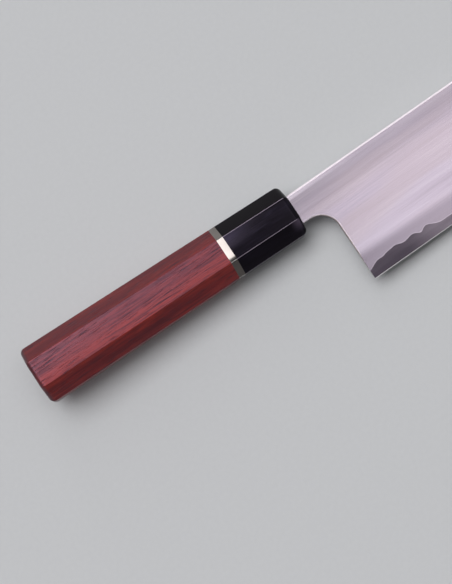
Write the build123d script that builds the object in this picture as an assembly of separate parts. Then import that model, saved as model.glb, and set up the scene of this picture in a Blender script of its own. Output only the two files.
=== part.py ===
from build123d import *
import os
from math import asin, atan2, degrees, hypot, radians, sqrt, tan

# A nakiri: a straight-edged vegetable knife of three-layer steel in an eight-sided wooden handle.
# It is built along its handle: X from the butt to the tip, Y from the edge to the spine, Z out of the
# right face, and zero where the handle's axis leaves the ferrule. Then it is laid down on its left
# side, as it comes to rest on a table: nose down, on the ferrule's front edge and the blade's end.
# All sizes are in millimetres and degrees.

# The handle's section tapers from the butt to the front. Each 45 degree corner cut has two equal legs.
handle_length = 132.9
butt_height = 26.6
butt_thickness = 22.1
butt_corner_cut = 7.0
front_height = 24.2
front_thickness = 19.0
front_corner_cut = 6.6
facet_edge_radius = 0.35
butt_edge_radius = 2.5

# The horn ferrule, with the mouth that the blade goes into, and the metal ring behind it
ferrule_length = 33.0
ferrule_edge_radius = 2.8
mouth_depth = 8.0
mouth_clearance = 0.5
ring_length = 3.1

# The dowel that joins the three pieces of the handle, and the glue line round it
dowel_diameter = 13.0
dowel_length = 104.0
glue_line = 0.1

# The blade seen from its face. Spine and edge are parallel, and pitched up to the handle's axis.
blade_length = 165.0
blade_height = 51.7
blade_pitch = 1.6
spine_rise = 6.5
heel_reach = 11.75
neck_height = 14.1
neck_tail = 5.0
choil_lean = 1.1
choil_radius = 9.2
tip_lean = 3.0
tip_spine_radius = 17.0
tip_edge_radius = 2.5

# The blade seen along its length: flat faces from the spine to the shoulder, a bevel from there to the
# cutting edge, and a narrow sharpened edge
spine_thickness = 3.1
tip_thickness = 2.4
shoulder_thickness = 1.9
bevel_height = 12.8
edge_thickness = 0.3
sharpened_height = 0.3
edge_land = 0.06
spine_edge_radius = 0.9
choil_edge_radius = 0.5

# The layers: the core is a wedge inside the blank, and is bare below a wavy line on each face.
core_spine_thickness = 1.0
core_tip_thickness = 0.8
core_line_thickness = 0.5
core_line_height = 3.8
wave_height = 7.2

# Heights of the wavy line's corners at even steps from heel to tip, as shares of wave_height, and how
# much of the shorter run beside a corner its rounding takes. No three corners lie in line.
wave_corner_share = 0.45
wave_shares = [
    0.55, 0.64, 0.75, 0.84, 0.86, 0.83, 0.91, 0.94, 0.95, 0.99, 0.95, 0.85, 0.82, 0.86, 0.92, 0.93,
    0.82, 0.69, 0.83, 0.92, 0.85, 0.72, 0.62, 0.57, 0.56, 0.57, 0.56, 0.56, 0.58, 0.66, 0.71, 0.70,
    0.79, 0.87, 0.90, 0.84, 0.83, 0.88, 0.80, 0.68, 0.64, 0.65, 0.74, 0.86, 0.91, 0.85, 0.76, 0.73,
    0.72, 0.63, 0.57, 0.59, 0.68, 0.81, 0.86, 0.84, 0.91, 0.96, 0.93, 0.81, 0.72, 0.70, 0.75, 0.77,
    0.69, 0.60, 0.56, 0.61, 0.73, 0.80, 0.79, 0.87, 0.94, 0.88, 0.75, 0.67, 0.66, 0.71, 0.83, 0.92,
    0.97, 0.91, 0.78, 0.70, 0.71, 0.65, 0.58, 0.62, 0.72, 0.76, 0.84, 0.89, 0.82, 0.71, 0.63, 0.60,
    0.67, 0.75, 0.74, 0.80, 0.78,
]

# The tang inside the handle, which starts to thin just ahead of the ferrule, the bedding round it and
# the seal round the neck
neck_land = 0.4
tang_length = 98.0
tang_front_height = 10.0
tang_end_height = 5.0
tang_end_thickness = 2.2
tang_end_radius = 1.5
bedding_thickness = 0.45
bedding_end_length = 3.0
seal_recess = 0.8

# How far a cutting shape runs past what it cuts
overrun = 4.0

# Places worked out from the sizes above. Along the blade they are measured on its own pitched axes.
butt_x = -handle_length
ring_front_x = -ferrule_length
ring_back_x = ring_front_x - ring_length
dowel_front_x = -mouth_depth
dowel_back_x = dowel_front_x - dowel_length
bedding_back_x = -tang_length - bedding_end_length
tip_x = heel_reach + blade_length
edge_y = spine_rise - blade_height
neck_bottom_y = spine_rise - neck_height
blade_turn = Rot(0, 0, blade_pitch)
tang_turn = Rot(0, 0, -blade_pitch)
bore_diameter = dowel_diameter + 2 * glue_line


def tapered_bar(back_x, front_x, back_height, front_height, back_thickness, front_thickness):
    """A straight bar along X with four flat sides, tapered in height and in thickness."""
    from_above = Polyline(
        (back_x, -back_height / 2),
        (front_x, -front_height / 2),
        (front_x, front_height / 2),
        (back_x, back_height / 2),
        close=True,
    )
    from_the_side = Polyline(
        (back_x, -back_thickness / 2),
        (front_x, -front_thickness / 2),
        (front_x, front_thickness / 2),
        (back_x, back_thickness / 2),
        close=True,
    )
    tall_block = extrude(make_face(from_above), back_thickness + front_thickness, both=True)
    wide_block = extrude(Plane.XZ * make_face(from_the_side), back_height + front_height, both=True)
    return tall_block & wide_block


def handle_stock():
    """The outside of the whole handle as one eight-sided block with softened edges."""
    butt_across = (butt_height + butt_thickness - 2 * butt_corner_cut) / sqrt(2)
    front_across = (front_height + front_thickness - 2 * front_corner_cut) / sqrt(2)
    upright = tapered_bar(butt_x, 0, butt_height, front_height, butt_thickness, front_thickness)
    turned = tapered_bar(butt_x, 0, butt_across, front_across, butt_across, front_across)
    stock = upright & Rot(45, 0, 0) * turned
    along = [edge for edge in stock.edges() if edge.length > handle_length / 2]
    stock = fillet(along, facet_edge_radius)
    stock = fillet(stock.faces().sort_by(Axis.X)[0].edges(), butt_edge_radius)
    return fillet(stock.faces().sort_by(Axis.X)[-1].edges(), ferrule_edge_radius)


def slice_of(stock, back_x, front_x):
    """The length of the handle's block between two places on its axis."""
    ahead = split(stock, bisect_by=Plane.YZ.offset(back_x), keep=Keep.TOP)
    return split(ahead, bisect_by=Plane.YZ.offset(front_x), keep=Keep.BOTTOM)


def round_bar(back_x, front_x, diameter):
    """A round bar along the handle's axis."""
    base = Plane.YZ.offset(back_x)
    return extrude(base * Circle(diameter / 2), front_x - back_x)


def face_plane(first, second, third):
    """The plane through three points, listed so that its normal leaves the blade's right face."""
    start = Vector(*first)
    along = Vector(*second) - start
    across = Vector(*third) - start
    return Plane(origin=start, x_dir=along, z_dir=along.cross(across))


def blank_outline(tip_radii):
    """The blank seen from its face, on the blade's own axes, with the tang turned to the handle's. The
    radii round the tip's corners at the edge and at the spine."""
    blade_corners = [
        (-neck_tail, neck_bottom_y),
        (heel_reach + choil_lean, neck_bottom_y),
        (heel_reach, edge_y),
        (tip_x, edge_y),
        (tip_x - tip_lean, spine_rise),
        (-neck_tail, spine_rise),
    ]
    blade_radii = [0, choil_radius, 0, *tip_radii, 0]
    tang_corners = [
        (-tang_length, -tang_end_height / 2),
        (0, -tang_front_height / 2),
        (0, tang_front_height / 2),
        (-tang_length, tang_end_height / 2),
    ]
    tang_radii = [tang_end_radius, 0, 0, tang_end_radius]
    blade = make_face(FilletPolyline(*blade_corners, radius=blade_radii, close=True))
    tang = make_face(FilletPolyline(*tang_corners, radius=tang_radii, close=True))
    return blade + tang_turn * tang


def flat_plane():
    """The right face from the spine to the shoulder, which thins towards edge and tip."""
    neck_top = (0, spine_rise, spine_thickness / 2)
    tip_top = (tip_x, spine_rise, tip_thickness / 2)
    heel_shoulder = (heel_reach, edge_y + bevel_height, shoulder_thickness / 2)
    return face_plane(neck_top, heel_shoulder, tip_top)


def bevel_plane():
    """The right bevel, from the shoulder down to the cutting edge."""
    heel_shoulder = (heel_reach, edge_y + bevel_height, shoulder_thickness / 2)
    heel_edge = (heel_reach, edge_y, edge_thickness / 2)
    tip_edge = (tip_x, edge_y, edge_thickness / 2)
    return face_plane(heel_shoulder, heel_edge, tip_edge)


def sharpened_plane():
    """The narrow sharpened strip along the right side of the cutting edge."""
    height_share = sharpened_height / bevel_height
    top_thickness = edge_thickness + (shoulder_thickness - edge_thickness) * height_share
    heel_top = (heel_reach, edge_y + sharpened_height, top_thickness / 2)
    heel_land = (heel_reach, edge_y, edge_land / 2)
    tip_land = (tip_x, edge_y, edge_land / 2)
    return face_plane(heel_top, heel_land, tip_land)


def core_plane():
    """The right side of the core steel inside the blank."""
    neck_top = (0, spine_rise, core_spine_thickness / 2)
    tip_top = (tip_x, spine_rise, core_tip_thickness / 2)
    heel_line = (heel_reach, edge_y + core_line_height, core_line_thickness / 2)
    return face_plane(neck_top, heel_line, tip_top)


def half_thickness(x, y):
    """From the blade's middle plane to its right flat face, at a place on the blade's own axes."""
    face = flat_plane()
    return -face.to_local_coords(Vector(x, y, 0)).Z / face.z_dir.Z


def tang_plane():
    """The right side of the tang, which thins from just ahead of the ferrule to its end."""
    neck_bottom = (neck_land, neck_bottom_y, half_thickness(neck_land, neck_bottom_y))
    neck_top = (neck_land, spine_rise, half_thickness(neck_land, spine_rise))
    end = (tang_turn * Pos(-tang_length, 0, tang_end_thickness / 2)).position
    return face_plane(neck_bottom, neck_top, end)


def half_blank():
    """The right half of the forged and ground blank: blade, neck and tang in one."""
    square_tipped = extrude(blank_outline([0, 0]), spine_thickness)
    round_tipped = extrude(blank_outline([tip_edge_radius, tip_spine_radius]), spine_thickness)
    half = split(square_tipped, bisect_by=flat_plane(), keep=Keep.BOTTOM)
    rim = half.faces().sort_by(Axis.Z)[-1].edges()
    behind_heel = rim.filter_by_position(Axis.X, -neck_tail, heel_reach + choil_lean)
    half = fillet(behind_heel.filter_by_position(Axis.Y, edge_y, neck_bottom_y), choil_edge_radius)
    spine = half.edges().group_by(Axis.Y)[-1].sort_by(Axis.Z)[-1]
    half = fillet(spine, spine_edge_radius) & round_tipped
    for plane in (bevel_plane(), sharpened_plane(), tang_plane()):
        half = split(half, bisect_by=plane, keep=Keep.BOTTOM)
    return half


def corner_radii(points, share):
    """Radii that round every corner of a line over the same share of the shorter run beside it."""
    radii = []
    for before, corner, after in zip(points, points[1:], points[2:]):
        turn = (corner - before).get_angle(after - corner)
        shorter = min((corner - before).length, (after - corner).length)
        radii.append(share * shorter / tan(radians(turn / 2)))
    return radii


def above_wave(shares):
    """All that lies above one wavy line, through the whole thickness of the right half."""
    step = blade_length / (len(shares) - 1)
    points = [Vector(heel_reach + step * i, edge_y + wave_height * share) for i, share in enumerate(shares)]
    wave = FilletPolyline(*points, radius=corner_radii(points, wave_corner_share))
    back_x = bedding_back_x - overrun
    front_x = tip_x + overrun
    top_y = spine_rise + overrun
    rest = Polyline(
        points[-1],
        (front_x, points[-1].Y),
        (front_x, top_y),
        (back_x, top_y),
        (back_x, points[0].Y),
        points[0],
    )
    return extrude(make_face(wave + rest), spine_thickness)


def blade_layers():
    """The right cladding, the left cladding and the core steel, on the handle's axes."""
    half = half_blank()
    right = split(half & above_wave(wave_shares), bisect_by=core_plane(), keep=Keep.TOP)
    left = split(half & above_wave(wave_shares[::-1]), bisect_by=core_plane(), keep=Keep.TOP)
    left_half_core = mirror(half - left, about=Plane.XY)
    core = (half - right) + left_half_core
    left = mirror(left, about=Plane.XY)
    return blade_turn * right, blade_turn * left, blade_turn * core


def mouth():
    """The slot in the front of the ferrule that takes the neck, with room for its seal."""
    height = neck_height + 2 * mouth_clearance
    thickness = spine_thickness + 2 * mouth_clearance
    length = 2 * (mouth_depth + overrun)
    slot = blade_turn * Pos(0, spine_rise - neck_height / 2, 0) * Box(length, height, thickness)
    return split(slot, bisect_by=Plane.YZ.offset(dowel_front_x), keep=Keep.TOP)


def tang_slot():
    """The tapered slot that takes the tang and its bedding: in the dowel, and past it in the body."""
    back_height = tang_end_height + 2 * bedding_thickness
    front_height = tang_front_height + 2 * bedding_thickness
    back_thickness = tang_end_thickness + 2 * bedding_thickness
    front_thickness = spine_thickness + 2 * bedding_thickness
    slot = tapered_bar(bedding_back_x, 0, back_height, front_height, back_thickness, front_thickness)
    return split(slot, bisect_by=Plane.YZ.offset(dowel_front_x), keep=Keep.BOTTOM)


def lying_pitch():
    """How far the nose dips when the ferrule's lower front edge and the blade's front both touch down."""
    edge_to_axis = front_thickness / 2 - ferrule_edge_radius
    fall = edge_to_axis - half_thickness(tip_x, spine_rise - tip_spine_radius)
    reach = tip_x + ferrule_edge_radius
    return degrees(atan2(fall, reach) + asin(ferrule_edge_radius / hypot(fall, reach)))


def knife():
    """Every piece of the knife by name, built along the handle's axis."""
    stock = handle_stock()
    bore = round_bar(dowel_back_x, dowel_front_x, bore_diameter)
    right, left, core = blade_layers()
    steel = right + left + core
    seal_block = split(mouth(), bisect_by=Plane.YZ.offset(-seal_recess), keep=Keep.BOTTOM)
    return {
        "core_steel": core,
        "cladding_right": right,
        "cladding_left": left,
        "ferrule": slice_of(stock, ring_front_x, overrun) - bore - mouth(),
        "spacer_ring": slice_of(stock, ring_back_x, ring_front_x) - bore,
        "handle_body": slice_of(stock, butt_x - overrun, ring_back_x) - bore - tang_slot(),
        "dowel": round_bar(dowel_back_x, dowel_front_x, dowel_diameter) - tang_slot(),
        "tang_bedding": tang_slot() - steel,
        "neck_seal": seal_block - steel,
    }


def main():
    """Lays the knife on its left side, with the middle of its footprint at zero, and writes it."""
    nose_down = Rot(0, lying_pitch(), 0)
    pieces = {name: nose_down * shape for name, shape in knife().items()}
    box = Compound(list(pieces.values())).bounding_box()
    to_middle = Pos(-box.center().X, -box.center().Y, -box.min.Z)
    os.makedirs("parts", exist_ok=True)
    for name, shape in pieces.items():
        export_step(to_middle * shape, f"parts/{name}.step")


main()
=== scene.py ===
from math import radians

import bpy
from mathutils import Matrix, Vector

# A nakiri on a pale table. All lengths are in metres, on the frame's own axes: X from the butt to the
# blade's front, Y from the cutting edge to the spine, Z up. Colours are red, green and blue from 0 to 1.
millimetre = 0.001
straight_up = Vector((0, 0, 1))

# The camera looks down on the right face, turned so that the handle comes in from the lower left.
camera_place = (-0.07582, -0.0671, 0.6852)
camera_turn = (5.313, 2.567, -33.512)
camera_lens = 96.4
camera_sensor = 36.0

# The table
floor_size = 30.0
floor_pattern = dict(sizes=(0.002, 0.002, 0.002), detail=2)
floor_tones = ((0.3, (0.60, 0.62, 0.615)), (0.7, (0.588, 0.6076, 0.6027)))
floor_rough = 0.7


class Window:
    """A part of the studio that lights more, or less, than the room: its light, its reach along X and
    along Y, and how soft its sides are on each."""

    def __init__(self, light, x, y, blurs):
        self.light = light
        self.x = x
        self.y = y
        self.blurs = blurs


# The studio: a room that is darker before the knife than behind it. A large soft panel hangs over the
# handle, a small one in a dark frame beside it, a wide one over the blade, and a strip light runs down
# the wall behind. The room is lit by the direction in which it is seen, a vector of length 1: each pair
# is the range of its Y or Z over which one light turns into the next. A window overhead is given as
# slopes: how far it lies along X and along Y for each metre up. The strip's X is that of the direction
# itself, and the frame's light is a share of the room's.
studio_tint = (0.985, 0.965, 1.0)
front_horizon_light = 0.20
back_horizon_light = 0.46
front_to_back = (-0.3, 0.5)
horizon_top = 0.40
wall_light = 0.32
ceiling_light = 0.34
wall_to_ceiling = (0.35, 0.85)
front_share = 0.20
dark_front = (-0.55, -0.06)
window_foot = (0.0, 0.2)
least_rise = 0.001
long_panel = Window(light=3.8, x=(-0.90, 0.04), y=(0.06, 0.90), blurs=(0.020, 0.020))
dark_frame = Window(light=0.40, x=(0.04, 0.195), y=(0.095, 0.85), blurs=(0.010, 0.004))
framed_panel = Window(light=3.7, x=(0.04, 0.160), y=(0.1199, 0.75), blurs=(0.020, 0.0006))
blade_panel = Window(light=0.90, x=(0.200, 0.65), y=(-0.28, 0.22), blurs=(0.020, 0.050))
strip_light = Window(light=1.3, x=(0.13, 0.33), y=(0.25, 8.0), blurs=(0.03, 0.08))

# The materials. A pattern is a noise: its sizes run along the handle or blade, across it and through it,
# and its origin only shifts it. Tones are colours at shares of a pattern's value. A share is how much of
# a colour shows at its strongest. A pair is a range over which something comes in or goes out: of a
# pattern's value, of a length, or, where the name ends in turn, of how far the surface faces some way:
# 1 is squarely towards it, 0 sideways and -1 away. Bulges are in metres per square metre.
most_values = (0.3, 0.7)

# Half the angle from one facet of the handle to the next, and the angles away from a facet at which its
# softened edge begins and is fully there
half_facet = radians(22.5)
edge_angles = (radians(4), radians(12))

# The wood. Its layers lie across the handle, and lengths count from the axis towards the spine. The
# slant is how far the grain turns away from that axis.
grain_slant = radians(3.0)
figure_pattern = dict(sizes=(0.070, 0.0036, 0.0050), detail=4, roughness=0.6, distortion=0.5)
wood_tones = ((0.32, (0.147, 0.0135, 0.0115)), (0.46, (0.195, 0.0175, 0.0130)),
              (0.58, (0.262, 0.0270, 0.0170)), (0.74, (0.181, 0.0160, 0.0125)))
layer_waver = 7 * millimetre
red_wood = (0.400, 0.046, 0.028)
red_share = 0.60
red_start = (-7 * millimetre, -2 * millimetre)
red_end = (5 * millimetre, 0.0)
# Painted shade: the wood is darkened towards the spine, on the facets that face it
painted_shade_wood = (0.050, 0.009, 0.008)
painted_shade_share = 0.42
painted_shade_start = (9.5 * millimetre, 11.5 * millimetre)
streak_pattern = dict(sizes=(0.075, 0.0009, 0.0020), detail=4, roughness=0.7, origin=(0.3, 0.1, 0))
streak_values = (0.53, 0.59)
streak_colour = (0.055, 0.010, 0.012)
streak_share = 0.42
fibre_pattern = dict(sizes=(0.0240, 0.00050, 0.00050), detail=3, roughness=0.75)
fibre_values = (0.49, 0.60)
fibre_colour = (0.050, 0.007, 0.008)
fibre_share = 0.66
fibre_height = -0.012 * millimetre
pore_pattern = dict(sizes=(0.0085, 0.00045, 0.00045), detail=1, origin=(0.05, 0.2, 0.1))
pore_values = (0.60, 0.66)
pore_bands = (0.40, 0.56)
pores_between_bands = 0.35
pore_colour = (0.016, 0.004, 0.008)
pore_share = 0.80
pore_height = -0.040 * millimetre
# The softened facet edges are a little lighter: partly wear, partly a painted highlight
worn_and_highlit_wood = (0.33, 0.12, 0.12)
wear_and_highlight_share = 0.06
end_grain = (0.030, 0.008, 0.009)
end_grain_share = 0.7
end_turn = (0.15, 0.6)
wood_rough = (0.27, 0.38)
wood_ior = 1.53
wood_bulge = 3.5
wood_tint = (0.92, 0.69, 0.92)

# The horn. Lengths count from the ring forwards, and from the axis towards the spine.
horn_streak_pattern = dict(sizes=(0.012, 0.00036, 0.00036), detail=4, roughness=0.65)
horn_cloud_pattern = dict(sizes=(0.020, 0.0050, 0.0050), detail=2, origin=(0.02, 0.01, 0))
horn_tones = ((0.14, (0.0058, 0.0048, 0.0066)), (0.30, (0.0078, 0.0066, 0.0105)),
              (0.46, (0.0165, 0.0140, 0.0250)))
horn_streak_height = 0.0008 * millimetre
# Painted shade: the facets that face the spine are made blacker
shaded_black_horn = (0.0012, 0.0008, 0.0006)
painted_shade_turn = (0.3, 0.6)
# A painted sheen, standing in for a reflection, on the facets near the ring
painted_sheen_horn = (0.032, 0.026, 0.050)
sheen_share = 0.75
sheen_forwards = (17 * millimetre, 2 * millimetre)
sheen_across = (-3 * millimetre, 5 * millimetre)
sheen_turn = (0.3, 0.1)
sheen_streaks = (0.40, 0.60)
sheen_by_streak = (0.55, 1.30)
# A painted sheen, standing in for a reflection, on the lower facet by the front corner
painted_corner_sheen = (0.120, 0.092, 0.135)
corner_sheen_share = 0.9
corner_sheen_forwards = (28 * millimetre, 34 * millimetre)
corner_sheen_across = (-11 * millimetre, -6 * millimetre)
corner_sheen_turn = (-0.15, -0.50)
corner_sheen_front_turn = (0.80, 0.50)
# Painted highlights on the softened edges between the facets
painted_edge_highlight_horn = (0.46, 0.39, 0.47)
edge_highlight_share = 0.9
edge_highlight_front_turn = (0.45, 0.10)
horn_rough = (0.06, 0.13)
horn_ior = 1.255
horn_bulge = 3.0
horn_tint = (0.88, 0.76, 1.0)

# The ring, with its scratches running round the handle
ring_scratch_pattern = dict(sizes=(0.00012, 0.012, 0.012), detail=2)
ring_scratch_height = 0.00002 * millimetre
tarnish_pattern = dict(sizes=(0.004, 0.005, 0.005), detail=3)
ring_tones = ((0.35, (0.290, 0.266, 0.244)), (0.65, (0.325, 0.299, 0.274)))
ring_rough = (0.012, 0.020)
# A painted glint: the softened edges are pale and matt
painted_glint_ring = (0.95, 0.92, 0.88)
glint_share = 0.8
glint_rough = 0.6
glint_metallic = 0.25

# The brush lines that cladding and core share
brush_pattern = dict(sizes=(0.028, 0.00050, 0.00050), detail=3, roughness=0.7, origin=(0.2, 0.0, 0.1))
brush_height = 0.0005 * millimetre
scratch_pattern = dict(sizes=(0.014, 0.00012, 0.00012), detail=2, origin=(0.1, 0.3, 0.0))
scratch_height = 0.0002 * millimetre

# The cladding. Lengths count from the heel along the blade, from the cutting edge up, or out from the
# spine's face.
broad_pattern = dict(sizes=(0.120, 0.0034, 0.0034), detail=3, roughness=0.6, origin=(0.0, 0.0040, 0.0))
broad_share = 0.55
cladding_tones = ((0.34, (0.468, 0.408, 0.470)), (0.50, (0.535, 0.470, 0.546)),
                  (0.66, (0.603, 0.540, 0.608)))
cloud_pattern = dict(sizes=(0.070, 0.012, 0.012), detail=2, origin=(0.5, 0.1, 0.2))
cloud_values = (0.40, 0.65)
clouded_steel = (0.560, 0.470, 0.480)
cloud_share = 0.35
# The bevel is darker: partly its hazier finish, partly painted shade
bevel_steel_and_shade = (0.310, 0.270, 0.325)
bevel_and_shade_share = 0.60
halo_steel = (0.72, 0.66, 0.72)
halo_share = 0.42
# Painted shade: darker near the neck and along the spine
painted_shade_steel = (0.02, 0.02, 0.02)
neck_shade_share = 0.12
neck_along = (22 * millimetre, -14 * millimetre)
neck_up = (26 * millimetre, 42 * millimetre)
spine_shade_share = 0.31
spine_up = (34 * millimetre, 49 * millimetre)
# Painted light: paler low on the flat by the heel
painted_light_steel = (0.84, 0.77, 0.88)
painted_light_share = 0.28
pale_along = (55 * millimetre, 3 * millimetre)
pale_up = (27 * millimetre, 13 * millimetre)
# A painted highlight just under the spine, strongest near the heel
spine_highlight_steel = (0.80, 0.74, 0.80)
spine_highlight_shares = (0.08, 0.42)
spine_highlight_along = (32 * millimetre, -10 * millimetre)
spine_highlight_out = (-1.7 * millimetre, -0.4 * millimetre)
# A painted highlight: the rounded edges are pale and matt
rounding_highlight_steel = (0.93, 0.86, 0.90)
rounded_turn = (0.995, 0.975)
rounding_highlight_metallic = 0.10
# Painted shade: the choil's surfaces that face the heel are dark brown
choil_shade_steel = (0.42, 0.35, 0.34)
choil_shade_turn = (0.15, 0.45)
# Painted shade on the walls at choil and neck that face inwards
wall_shade_steel = (0.10, 0.075, 0.07)
wall_shade_turn = (0.40, 0.15)
wall_shade_inward_turn = (0.10, 0.40)
inward_slope = 0.7
steel_rough = (0.20, 0.60)
steel_rough_turn = (0.990, 0.80)
steel_anisotropy = 0.3

# The line where flat and bevel meet is rounded over this to either side.
crest_width = 2.5 * millimetre

# The pale line above the core steel: its width and the share of it that is at full strength, the height
# that the wavy line stays under, how near to the bevel's plane its points lie, and the number of steps
# in which it is followed
halo_width = 0.45 * millimetre
halo_heart = 0.25
wave_top = 9.0 * millimetre
on_plane = 0.01 * millimetre
curve_steps = 200

# The core. Lengths count from the heel. Sharpened steel leans down to the cutting edge.
core_cloud_pattern = dict(sizes=(0.040, 0.0050, 0.0050), detail=4, roughness=0.6, origin=(0.012, 0, 0))
dark_core = ((0.36, (0.078, 0.066, 0.083)), (0.64, (0.118, 0.100, 0.122)))
hazy_core = ((0.36, (0.190, 0.162, 0.192)), (0.64, (0.270, 0.235, 0.270)))
core_haze_share = 0.90
core_haze_start = (18 * millimetre, 40 * millimetre)
core_sides = (0.34, 0.31, 0.34)
core_face_turn = (0.5, 0.9)
# The sharpened edge: bare steel, painted pale and partly matt as a highlight
sharpened_steel_and_highlight = (0.92, 0.92, 0.92)
sharpened_turn = (-0.16, -0.28)
sharpened_highlight_metallic = 0.35
core_rough = 0.42

# The dowel and the adhesive
dowel_pattern = dict(sizes=(0.010, 0.0005, 0.0005), detail=3)
dowel_tones = ((0.3, (0.45, 0.31, 0.18)), (0.7, (0.62, 0.46, 0.28)))
dowel_height = 0.01 * millimetre
dowel_rough = 0.6
lump_pattern = dict(sizes=(0.0008, 0.0008, 0.0008), detail=3)
adhesive_tones = ((0.3, (0.018, 0.015, 0.013)), (0.7, (0.035, 0.03, 0.026)))
lump_height = 0.02 * millimetre
adhesive_rough = 0.5


class Plane:
    """A flat face: its area, its normal, and how far it lies from zero along that normal."""

    def __init__(self, area, normal, distance):
        self.area = area
        self.normal = normal
        self.distance = distance


def flat_faces(piece):
    """The piece's planes, largest first."""
    found = {}
    for face in piece.data.polygons:
        offset = face.normal.dot(face.center)
        key = (*(round(n, 2) for n in face.normal), round(offset / millimetre))
        area, normal, total = found.get(key, (0.0, Vector(), 0.0))
        found[key] = (area + face.area, normal + face.normal * face.area, total + offset * face.area)
    planes = [Plane(area, normal.normalized(), total / area) for area, normal, total in found.values()]
    return sorted(planes, key=lambda plane: -plane.area)


def first_facing(planes, direction, least=0.9):
    """The largest plane whose normal lies near a direction."""
    return next(plane for plane in planes if plane.normal.dot(Vector(direction)) > least)


def bevel_face(planes, side, least=0.9, least_lean=0.04):
    """The largest plane that faces up (side 1) or down (side -1) and leans to the cutting edge."""
    return next(plane for plane in planes
                if plane.normal.z * side > least and plane.normal.y < -least_lean)


def axes_along(along, up):
    """Axes as a matrix: X along one direction, Z as near as it gets to another."""
    x = along.normalized()
    y = up.cross(x).normalized()
    return Matrix((x, y, x.cross(y))).transposed()


class Blade:
    """Where the blade lies: its axes, and the places of heel, tip and cutting edge on them."""

    def __init__(self, axes, piece):
        self.axes = axes
        self.inverse = axes.inverted()
        places = [self.inverse @ vertex.co for vertex in piece.data.vertices]
        self.edge = min(place.y for place in places)
        low = [place.x for place in places if place.y < self.edge + millimetre]
        self.heel = min(low)
        self.tip = max(low)


class Nodes:
    """A node tree, with short calls that add a node and return what it puts out."""

    def __init__(self, tree):
        self.tree = tree
        self.tree.nodes.clear()

    def feed(self, socket, value):
        """Links a socket to another one, or sets its value."""
        if isinstance(value, bpy.types.NodeSocket):
            self.tree.links.new(value, socket)
        elif socket.type == "RGBA":
            socket.default_value = (*value, 1)
        else:
            socket.default_value = value

    def add(self, kind, feeds=(), **settings):
        node = self.tree.nodes.new(kind)
        for name, value in settings.items():
            setattr(node, name, value)
        for key, value in dict(feeds).items():
            self.feed(node.inputs[key], value)
        return node

    def maths(self, operation, *values, clamp=False):
        feeds = dict(enumerate(values))
        return self.add("ShaderNodeMath", feeds, operation=operation, use_clamp=clamp).outputs[0]

    def times(self, first, *others):
        """The product of two or more values."""
        for other in others:
            first = self.maths("MULTIPLY", first, other)
        return first

    def plus_times(self, value, factor, rest):
        """The value times the factor, plus the rest."""
        return self.maths("MULTIPLY_ADD", value, factor, rest)

    def less(self, first, second):
        """The first value less the second."""
        return self.maths("SUBTRACT", first, second)

    def unsigned(self, value):
        return self.maths("ABSOLUTE", value)

    def vector(self, operation, *values):
        feeds = dict(enumerate(values))
        return self.add("ShaderNodeVectorMath", feeds, operation=operation).outputs["Vector"]

    def dot(self, first, second):
        feeds = {0: first, 1: second}
        return self.add("ShaderNodeVectorMath", feeds, operation="DOT_PRODUCT").outputs["Value"]

    def fade(self, value, start, end, low=0.0, high=1.0):
        """Goes smoothly from low to high as the value goes from start to end."""
        feeds = {"Value": value, "From Min": start, "From Max": end, "To Min": low, "To Max": high}
        return self.add("ShaderNodeMapRange", feeds, interpolation_type="SMOOTHSTEP").outputs[0]

    def blend(self, share, first, second):
        """A colour at a share of the way from the first to the second."""
        node = self.add("ShaderNodeMix", data_type="RGBA", clamp_factor=True)
        factor, one, other = (node.inputs[index] for index in (0, 6, 7))
        self.feed(factor, share)
        self.feed(one, first)
        self.feed(other, second)
        return node.outputs[2]

    def cover(self, ground, *coats):
        """A ground under coats, which come one after another, each as (share, colour)."""
        for share, colour in coats:
            ground = self.blend(share, ground, colour)
        return ground

    def place(self):
        return self.add("ShaderNodeTexCoord").outputs["Object"]

    def true_normal(self):
        return self.add("ShaderNodeNewGeometry").outputs["True Normal"]

    def reach(self, axis, start=0.0):
        """How far the place lies along an axis from a start on it."""
        return self.less(self.dot(self.place(), axis), start)

    def facing(self, direction):
        """1 where the surface faces a direction, 0 where it lies along it and -1 where it faces away."""
        return self.dot(self.true_normal(), direction)

    def along(self, axes, sizes, origin=(0, 0, 0)):
        """Places on the given axes, measured from an origin in steps of the given sizes."""
        feeds = {"Vector": self.place(), "Location": origin, "Rotation": axes.to_euler(), "Scale": sizes}
        return self.add("ShaderNodeMapping", feeds, vector_type="TEXTURE").outputs[0]

    def noise(self, axes, sizes, detail=3.0, roughness=0.5, distortion=0.0, origin=(0, 0, 0)):
        feeds = {"Vector": self.along(axes, sizes, origin), "Scale": 1.0, "Detail": detail,
                 "Roughness": roughness, "Distortion": distortion}
        return self.add("ShaderNodeTexNoise", feeds).outputs["Fac"]

    def colours(self, value, stops):
        """Colours at shares of a value, blended between."""
        node = self.add("ShaderNodeValToRGB", {"Fac": value})
        ramp = node.color_ramp
        while len(ramp.elements) < len(stops):
            ramp.elements.new(0.5)
        for element, (share, colour) in zip(ramp.elements, stops):
            element.position = share
            element.color = (*colour, 1)
        return node.outputs["Color"]

    def curve(self, value, points):
        """A value looked up on a curve through points that run from 0 to 1."""
        node = self.add("ShaderNodeFloatCurve", {"Factor": 1.0, "Value": value})
        line = node.mapping.curves[0]
        node.mapping.use_clip = False
        for share, height in points[1:-1]:
            line.points.new(share, height)
        for place, (share, height) in zip((line.points[0], line.points[-1]), (points[0], points[-1])):
            place.location = (share, height)
        for place in line.points:
            place.handle_type = "VECTOR"
        node.mapping.update()
        return node.outputs[0]

    def bump(self, height):
        """Turns a height in metres into a normal."""
        feeds = {"Height": height, "Distance": 1.0, "Strength": 1.0}
        return self.add("ShaderNodeBump", feeds).outputs["Normal"]


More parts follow.
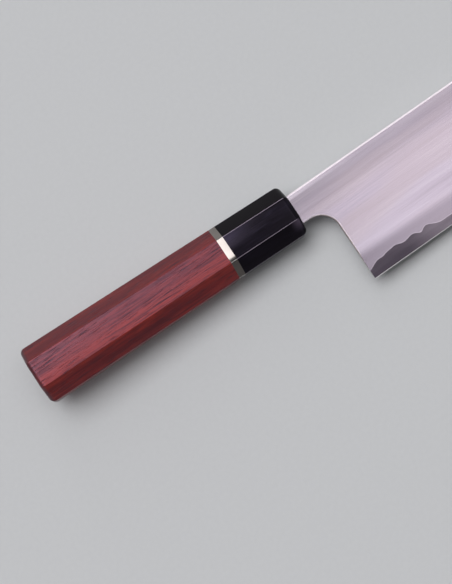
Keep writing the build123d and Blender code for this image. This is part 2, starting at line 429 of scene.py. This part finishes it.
class Finish(Nodes):
    """One material's nodes."""

    def __init__(self, name):
        self.material = bpy.data.materials.new(name)
        self.material.use_nodes = True
        super().__init__(self.material.node_tree)

    def shade(self, **feeds):
        """The finished surface. Feeds are named as the shader's sockets, with _ for a space."""
        feeds = {name.replace("_", " "): value for name, value in feeds.items()}
        shader = self.add("ShaderNodeBsdfPrincipled", feeds)
        self.add("ShaderNodeOutputMaterial", {"Surface": shader.outputs[0]})
        return self.material


def facet_edges(f, axes):
    """1 on the softened edges between the handle's facets, and 0 on the facets."""
    feeds = {"Vector": f.true_normal(), "Rotation": axes.inverted().to_euler()}
    turned = f.add("ShaderNodeMapping", feeds, vector_type="VECTOR").outputs[0]
    normal = f.add("ShaderNodeSeparateXYZ", {"Vector": turned}).outputs
    angle = f.maths("ARCTAN2", normal["Z"], normal["Y"])
    return f.fade(f.maths("PINGPONG", angle, half_facet), *edge_angles)


def crown(f, axes, middle, bulge):
    """A height that domes each facet round an axis a little, by a bulge in metres per square metre."""
    off_middle = f.vector("SUBTRACT", f.place(), middle)
    off_axis = f.vector("CROSS_PRODUCT", off_middle, axes.col[0])
    return f.times(f.dot(off_axis, off_axis), -bulge)


def rosewood(axes, middle):
    """Reddish brown wood with a redder layer along its middle, dark purple streaks, fine fibres, open
    pores and dark end grain. Painted shade darkens the facets by the spine, and the softened facet edges
    are a little lighter, partly from wear and partly as a painted highlight."""
    f = Finish("rosewood_oiled")
    grain = axes @ Matrix.Rotation(grain_slant, 3, "Z")
    figure = f.noise(grain, **figure_pattern)
    bands = f.noise(grain, **streak_pattern)
    fibres = f.noise(axes, **fibre_pattern)
    across = f.reach(axes.col[1], middle.dot(axes.col[1]))
    across = f.plus_times(figure, layer_waver, across)
    red = f.times(f.fade(across, *red_start), f.fade(across, *red_end), red_share)
    # Painted shade on the facets towards the spine
    dark = f.fade(across, *painted_shade_start, 0.0, painted_shade_share)
    streak = f.times(f.fade(bands, *streak_values), streak_share)
    fibre = f.fade(fibres, *fibre_values, 0.0, fibre_share)
    pore = f.times(f.fade(f.noise(grain, **pore_pattern), *pore_values),
                   f.fade(bands, *pore_bands, pores_between_bands, 1.0))
    # Lighter softened edges: partly wear, partly a painted highlight
    pale_edges = f.times(facet_edges(f, axes), wear_and_highlight_share)
    cut_across = f.fade(f.facing(-axes.col[0]), *end_turn, 0.0, end_grain_share)
    ground = f.cover(f.colours(figure, wood_tones), (red, red_wood), (dark, painted_shade_wood),
                     (streak, streak_colour), (fibre, fibre_colour),
                     (f.times(pore, pore_share), pore_colour), (pale_edges, worn_and_highlit_wood),
                     (cut_across, end_grain))
    height = f.plus_times(fibres, fibre_height, crown(f, axes, middle, wood_bulge))
    height = f.plus_times(pore, pore_height, height)
    rough = f.fade(fibres, *most_values, *wood_rough)
    return f.shade(Base_Color=ground, Roughness=rough, IOR=wood_ior, Specular_Tint=wood_tint,
                   Normal=f.bump(height))


def horn(axes, middle):
    """Polished black horn with faint lengthwise streaks, a painted sheen on the facets towards the ring,
    painted shade making the facets towards the spine blacker, a painted sheen on a corner at the front,
    and painted highlights where the facets meet."""
    f = Finish("shaded_black_horn")
    streaks = f.noise(axes, **horn_streak_pattern)
    clouds = f.noise(axes, **horn_cloud_pattern)
    spinewards = f.facing(axes.col[1])
    forwards = f.unsigned(f.facing(axes.col[0]))
    off_ring = f.reach(axes.col[0], middle.dot(axes.col[0]))
    across = f.reach(axes.col[1], middle.dot(axes.col[1]))
    # Painted sheen near the ring, broken up by the streaks
    paler_share = f.times(f.fade(off_ring, *sheen_forwards), f.fade(across, *sheen_across, 0.0, sheen_share),
                   f.fade(spinewards, *sheen_turn), f.fade(streaks, *sheen_streaks, *sheen_by_streak))
    # Painted sheen on the front corner of the lower facet
    corner_sheen = f.times(f.fade(off_ring, *corner_sheen_forwards, 0.0, corner_sheen_share),
                      f.fade(across, *corner_sheen_across), f.fade(spinewards, *corner_sheen_turn),
                      f.fade(forwards, *corner_sheen_front_turn))
    # Painted highlights on the softened facet edges
    pale_edges = f.times(facet_edges(f, axes), f.fade(forwards, *edge_highlight_front_turn), edge_highlight_share)
    # The facets towards the spine get painted shade, then the painted sheens and edge highlights go over
    ground = f.cover(f.colours(f.times(streaks, clouds), horn_tones),
                     (f.fade(spinewards, *painted_shade_turn), shaded_black_horn), (paler_share, painted_sheen_horn),
                     (corner_sheen, painted_corner_sheen), (pale_edges, painted_edge_highlight_horn))
    height = f.plus_times(streaks, horn_streak_height, crown(f, axes, middle, horn_bulge))
    rough = f.fade(streaks, *most_values, *horn_rough)
    return f.shade(Base_Color=ground, Roughness=rough, IOR=horn_ior, Specular_Tint=horn_tint,
                   Normal=f.bump(height))


def nickel_silver(axes):
    """Polished nickel silver with the finest scratches of its polishing round the handle, and a painted
    glint on its softened edges, which are pale and matt."""
    f = Finish("nickel_silver_polished")
    tarnish = f.noise(axes, **tarnish_pattern)
    # Painted glint on the softened edges
    glint = f.times(facet_edges(f, axes), glint_share)
    ground = f.cover(f.colours(tarnish, ring_tones), (glint, painted_glint_ring))
    rough = f.fade(tarnish, *most_values, *ring_rough)
    rough = f.maths("MAXIMUM", rough, f.times(glint, glint_rough))
    metallic = f.fade(glint, 0.0, glint_share, 1.0, glint_metallic)
    height = f.times(f.noise(axes, **ring_scratch_pattern), ring_scratch_height)
    return f.shade(Base_Color=ground, Metallic=metallic, Roughness=rough, Normal=f.bump(height))


def brushed_height(f, axes, lines):
    """The height of the brush lines, and of finer scratches along them."""
    scratches = f.noise(axes, **scratch_pattern)
    return f.plus_times(lines, brush_height, f.times(scratches, scratch_height))


def crest(f, flat, bevel):
    """Rounds the line where two planes meet: (height that does it, share of the bevel)."""
    turn = flat.normal.angle(bevel.normal)
    off_flat = f.reach(flat.normal, flat.distance)
    off_bevel = f.reach(bevel.normal, bevel.distance)
    off_line = f.maths("DIVIDE", f.less(off_bevel, off_flat), turn)
    near = f.maths("MAXIMUM", f.less(crest_width, f.unsigned(off_line)), 0.0)
    height = f.times(near, near, -turn / (4 * crest_width))
    return height, f.fade(off_line, -crest_width, crest_width)


def wave_edge(piece, bevel, blade):
    """The lower border of a cladding on its bevel, as (places along the edge, heights above it)."""
    places = [blade.inverse @ vertex.co for vertex in piece.data.vertices
              if abs(vertex.co.dot(bevel.normal) - bevel.distance) < on_plane]
    return sorted((place.x, place.y) for place in places if place.y - blade.edge < wave_top)


def height_at(border, share):
    """The height of a border at a share of its length, on a straight line between its points."""
    before = max((point for point in border if point[0] <= share), default=border[0])
    after = min((point for point in border if point[0] > share), default=border[-1])
    gap = after[0] - before[0]
    mix = (share - before[0]) / gap if gap > 0 else 0.0
    return before[1] + (after[1] - before[1]) * min(max(mix, 0.0), 1.0)


def halo_line(f, piece, bevel, blade):
    """1 on the border of a cladding above the core steel, fading out over a short way."""
    length = blade.tip - blade.heel
    border = [((x - blade.heel) / length, (y - blade.edge) / wave_top)
              for x, y in wave_edge(piece, bevel, blade)]
    steps = [step / curve_steps for step in range(1, curve_steps)]
    points = [(0.0, border[0][1]), *((step, height_at(border, step)) for step in steps),
              (1.0, border[-1][1])]
    share = f.maths("DIVIDE", f.reach(blade.axes.col[0], blade.heel), length, clamp=True)
    border_up = f.plus_times(f.curve(share, points), wave_top, blade.edge)
    off_border = f.unsigned(f.less(f.reach(blade.axes.col[1]), border_up))
    return f.fade(off_border, halo_width, halo_heart * halo_width)


def cladding(name, piece, flat, bevel, spine, blade):
    """Satin steel brushed along the blade, hazier and darker on the bevel, partly from its finish and
    partly as painted shade, with a pale line where it meets the core steel. Painted shade darkens it
    near the spine and the neck, painted light makes it paler low by the heel, and a painted highlight
    runs under the spine near the heel. Its rounded edges are pale and matt as a painted highlight, the
    surfaces of the choil that face the heel are painted a dark brown shade, and its walls at choil and
    neck are painted dark as shade."""
    f = Finish(name)
    along, upwards = blade.axes.col[0], blade.axes.col[1]
    lines = f.noise(blade.axes, **brush_pattern)
    broad = f.noise(blade.axes, **broad_pattern)
    tone = f.plus_times(lines, 1 - broad_share, f.times(broad, broad_share))
    rounding, on_bevel = crest(f, flat, bevel)
    off_heel = f.reach(along, blade.heel)
    off_edge = f.reach(upwards, blade.edge)
    off_spine = f.reach(spine.normal, spine.distance)
    facing = f.facing(flat.normal)
    clouds = f.fade(f.noise(blade.axes, **cloud_pattern), *cloud_values, 0.0, cloud_share)
    halo = f.times(halo_line(f, piece, bevel, blade), halo_share)
    # Painted shade near the neck and along the spine
    by_neck = f.times(f.fade(off_heel, *neck_along, 0.0, neck_shade_share), f.fade(off_edge, *neck_up))
    by_spine = f.fade(off_edge, *spine_up, 0.0, spine_shade_share)
    # Painted light low on the flat by the heel
    pale = f.times(f.fade(off_edge, *pale_up, 0.0, painted_light_share), f.fade(off_heel, *pale_along),
                   f.less(1.0, on_bevel))
    # Painted highlight under the spine near the heel
    spine_highlight = f.times(f.fade(off_spine, *spine_highlight_out), f.fade(off_heel, *spine_highlight_along, *spine_highlight_shares))
    # Painted highlight on the rounded edges
    rounded = f.fade(facing, *rounded_turn)
    # Painted shade on the choil
    heelwards = f.fade(f.facing(-along), *choil_shade_turn)
    inwards = f.facing(-inward_slope * (along + upwards))
    # Painted shade on the inward walls at choil and neck
    dull = f.times(f.fade(facing, *wall_shade_turn), f.fade(inwards, *wall_shade_inward_turn))
    # On the bevel: its hazier finish and painted shade
    ground = f.cover(f.colours(tone, cladding_tones), (clouds, clouded_steel),
                     (f.times(on_bevel, bevel_and_shade_share), bevel_steel_and_shade), (halo, halo_steel),
                     (f.maths("ADD", by_neck, by_spine), painted_shade_steel), (pale, painted_light_steel),
                     (spine_highlight, spine_highlight_steel), (rounded, rounding_highlight_steel), (heelwards, choil_shade_steel),
                     (dull, wall_shade_steel))
    rough = f.fade(facing, *steel_rough_turn, *steel_rough)
    metallic = f.fade(rounded, 0.0, 1.0, 1.0, rounding_highlight_metallic)
    brushed_across = f.vector("NORMALIZE", f.vector("CROSS_PRODUCT", f.true_normal(), along))
    height = f.maths("ADD", brushed_height(f, blade.axes, lines), rounding)
    return f.shade(Base_Color=ground, Metallic=metallic, Roughness=rough,
                   Anisotropic=steel_anisotropy, Tangent=brushed_across, Normal=f.bump(height))


def core(blade):
    """Dark core steel, hazier away from the heel, with a bright line where the edge is sharpened: bare
    steel, painted pale and partly matt as a highlight.
    """
    f = Finish("core_steel_dark")
    clouds = f.noise(blade.axes, **core_cloud_pattern)
    off_heel = f.reach(blade.axes.col[0], blade.heel)
    paler_share = f.fade(off_heel, *core_haze_start, 0.0, core_haze_share)
    face = f.blend(paler_share, f.colours(clouds, dark_core), f.colours(clouds, hazy_core))
    normal = f.add("ShaderNodeSeparateXYZ", {"Vector": f.true_normal()}).outputs
    on_face = f.fade(f.unsigned(normal["Z"]), *core_face_turn)
    # Bare sharpened steel with a painted highlight
    sharpened = f.times(f.fade(normal["Y"], *sharpened_turn), on_face)
    ground = f.blend(sharpened, f.blend(on_face, core_sides, face), sharpened_steel_and_highlight)
    metallic = f.fade(sharpened, 0.0, 1.0, 1.0, sharpened_highlight_metallic)
    height = brushed_height(f, blade.axes, f.noise(blade.axes, **brush_pattern))
    return f.shade(Base_Color=ground, Metallic=metallic, Roughness=core_rough,
                   Normal=f.bump(height))


def plain_wood(axes):
    """The pale hardwood of the dowel."""
    f = Finish("dowel_hardwood")
    fibres = f.noise(axes, **dowel_pattern)
    return f.shade(Base_Color=f.colours(fibres, dowel_tones), Roughness=dowel_rough,
                   Normal=f.bump(f.times(fibres, dowel_height)))


def adhesive(axes):
    """The dull set adhesive round the neck and the tang."""
    f = Finish("set_adhesive")
    lumps = f.noise(axes, **lump_pattern)
    return f.shade(Base_Color=f.colours(lumps, adhesive_tones), Roughness=adhesive_rough,
                   Normal=f.bump(f.times(lumps, lump_height)))


def wear(piece, material):
    piece.data.materials.clear()
    piece.data.materials.append(material)


def studio():
    """The light round the table."""
    world = bpy.data.worlds.new("studio")
    bpy.context.scene.world = world
    world.use_nodes = True
    f = Nodes(world.node_tree)
    direction = f.add("ShaderNodeTexCoord").outputs["Generated"]
    x, y, z = f.add("ShaderNodeSeparateXYZ", {"Vector": direction}).outputs
    rise = f.maths("MAXIMUM", z, least_rise)
    slope_x, slope_y = f.maths("DIVIDE", x, rise), f.maths("DIVIDE", y, rise)

    def inside(window, along_x, along_y):
        """1 inside a window and 0 outside it, with soft sides."""
        share = f.fade(z, *window_foot)
        for value, (low, high), blur in zip((along_x, along_y), (window.x, window.y), window.blurs):
            share = f.times(share, f.fade(value, low - blur, low + blur),
                            f.fade(value, high + blur, high - blur))
        return share

    horizon = f.fade(y, *front_to_back, front_horizon_light, back_horizon_light)
    walls = f.times(f.fade(z, *wall_to_ceiling, wall_light, ceiling_light),
                    f.fade(y, *dark_front, front_share, 1.0))
    up = f.fade(z, 0.0, horizon_top)
    strength = f.maths("ADD", f.times(up, walls), f.times(f.less(1.0, up), horizon))
    framed = inside(dark_frame, slope_x, slope_y)
    strength = f.times(strength, f.fade(framed, 0.0, 1.0, 1.0, dark_frame.light))
    for panel in (long_panel, framed_panel, blade_panel):
        strength = f.plus_times(inside(panel, slope_x, slope_y), panel.light, strength)
    strength = f.plus_times(inside(strip_light, x, slope_y), strip_light.light, strength)
    background = f.add("ShaderNodeBackground", {"Color": studio_tint, "Strength": strength})
    f.add("ShaderNodeOutputWorld", {"Surface": background.outputs[0]})


def table():
    """The pale surface that the knife lies on."""
    bpy.ops.mesh.primitive_plane_add(size=floor_size)
    floor = bpy.context.object
    floor.name = "table_top"
    f = Finish("table_paint")
    ground = f.colours(f.noise(Matrix.Identity(3), **floor_pattern), floor_tones)
    wear(floor, f.shade(Base_Color=ground, Roughness=floor_rough))


def camera():
    eye = bpy.data.cameras.new("camera")
    eye.lens = camera_lens
    eye.sensor_width = camera_sensor
    holder = bpy.data.objects.new("camera", eye)
    holder.location = camera_place
    holder.rotation_euler = [radians(turn) for turn in camera_turn]
    bpy.context.scene.collection.objects.link(holder)
    bpy.context.scene.camera = holder


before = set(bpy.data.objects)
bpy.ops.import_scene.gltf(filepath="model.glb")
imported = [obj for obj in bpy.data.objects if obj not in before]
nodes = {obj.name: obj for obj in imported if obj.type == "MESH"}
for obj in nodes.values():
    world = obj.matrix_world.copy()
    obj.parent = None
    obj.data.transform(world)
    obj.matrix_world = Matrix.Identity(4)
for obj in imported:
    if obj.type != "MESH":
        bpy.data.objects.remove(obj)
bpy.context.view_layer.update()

# The handle's axes come from the ring's front face, and the blade's from its flats and bevels.
ring_front = first_facing(flat_faces(nodes["spacer_ring"]), (1, 0, 0))
handle_axes = axes_along(ring_front.normal, straight_up)
ring_points = [vertex.co for vertex in nodes["spacer_ring"].data.vertices]
ring_middle = sum(ring_points, Vector()) / len(ring_points)

right_planes = flat_faces(nodes["cladding_right"])
left_planes = flat_faces(nodes["cladding_left"])
right_flat = first_facing(right_planes, straight_up)
left_flat = first_facing(left_planes, -straight_up)
right_bevel = bevel_face(right_planes, 1)
left_bevel = bevel_face(left_planes, -1)
edge_line = right_bevel.normal.cross(left_bevel.normal)
edge_line *= 1 if edge_line.x > 0 else -1
blade = Blade(axes_along(edge_line, right_flat.normal - left_flat.normal), nodes["core_steel"])
spine = first_facing(right_planes, blade.axes.col[1])

wear(nodes["handle_body"], rosewood(handle_axes, ring_middle))
wear(nodes["ferrule"], horn(handle_axes, ring_middle))
wear(nodes["spacer_ring"], nickel_silver(handle_axes))
wear(nodes["cladding_right"], cladding("cladding_satin_right", nodes["cladding_right"], right_flat,
                                       right_bevel, spine, blade))
wear(nodes["cladding_left"], cladding("cladding_satin_left", nodes["cladding_left"], left_flat,
                                      left_bevel, spine, blade))
wear(nodes["core_steel"], core(blade))
wear(nodes["dowel"], plain_wood(handle_axes))
wear(nodes["tang_bedding"], adhesive(handle_axes))
wear(nodes["neck_seal"], adhesive(handle_axes))

table()
studio()
camera()
bpy.context.scene.view_settings.view_transform = "Standard"
